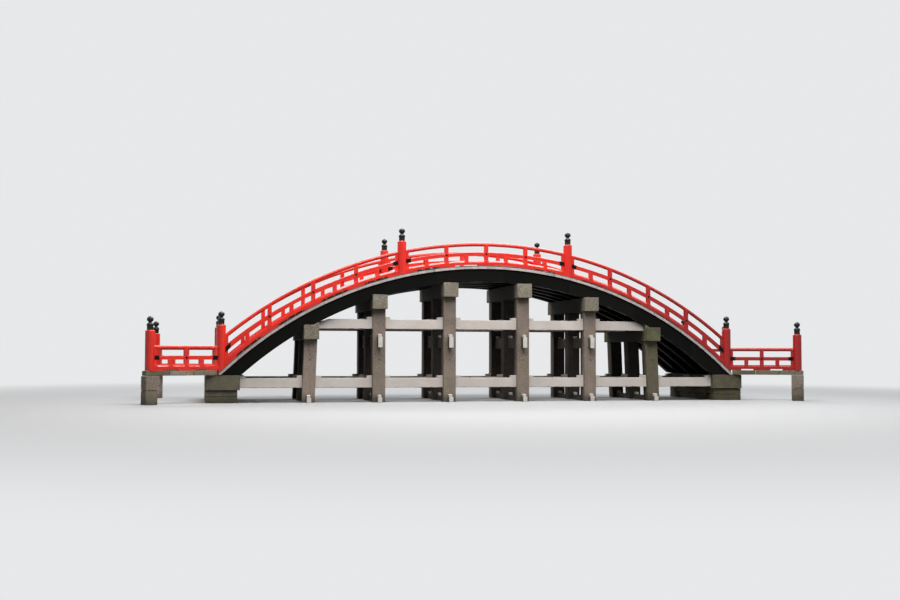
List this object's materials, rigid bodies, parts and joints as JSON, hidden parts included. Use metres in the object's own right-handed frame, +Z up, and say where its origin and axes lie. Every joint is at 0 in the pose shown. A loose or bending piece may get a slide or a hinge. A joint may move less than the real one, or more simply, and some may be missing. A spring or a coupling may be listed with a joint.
{
  "type": "moon bridge",
  "caption": "Steep arched footbridge with vermilion railings, black girders and a stepped walkway, carried over water on stone columns locked by pale ties.",
  "frame": {"origin": "on the water level, under the middle of the arch", "axes": "+X along the bridge, +Y across it towards the back, +Z up"},
  "size_m": [25.5646, 7.074, 6.6054],
  "materials": {
    "vermilion_paint": "gloss vermilion paint on timber",
    "black_timber": "satin black paint on timber",
    "black_metal": "gloss black metal fitting",
    "column_stone": "weathered grey-brown granite",
    "cap_stone": "weathered grey-green granite with moss",
    "pale_timber": "pale grey painted timber",
    "deck_timber": "weathered boards with white painted ends"
  },
  "bodies": {
    "root": {"abutment_walls": "column_stone", "bottom_rail_back": "vermilion_paint", "bottom_rail_front": "vermilion_paint", "cap_beams": "cap_stone", "columns_bent_1": "column_stone", "columns_bent_2": "column_stone", "columns_bent_3": "column_stone", "columns_bent_4": "column_stone", "columns_bent_5": "column_stone", "columns_bent_6": "column_stone", "cross_tie_wedges": "pale_timber", "deck": "deck_timber", "end_posts": "vermilion_paint", "girder_back": "black_timber", "girder_front": "black_timber", "girder_inner_back": "black_timber", "girder_inner_front": "black_timber", "girder_middle": "black_timber", "girder_packing": "cap_stone", "lower_cross_ties": "pale_timber", "lower_ties": "pale_timber", "main_posts": "vermilion_paint", "mid_rail_back": "vermilion_paint", "mid_rail_front": "vermilion_paint", "nail_covers": "black_metal", "post_finials": "black_metal", "post_strips": "vermilion_paint", "rail_bands": "black_metal", "rail_blocks": "vermilion_paint", "short_struts": "vermilion_paint", "sill_stones": "cap_stone", "tall_struts": "vermilion_paint", "tie_wedges": "pale_timber", "top_rail_back": "vermilion_paint", "top_rail_front": "vermilion_paint", "treads_left": "deck_timber", "treads_right": "deck_timber", "upper_cross_ties": "pale_timber", "upper_ties": "pale_timber", "wing_footings": "column_stone", "wing_kerbs": "cap_stone", "wing_posts": "vermilion_paint", "wing_railing_back_left": "vermilion_paint", "wing_railing_back_right": "vermilion_paint", "wing_railing_front_left": "vermilion_paint", "wing_railing_front_right": "vermilion_paint"}
  },
  "joints": []
}
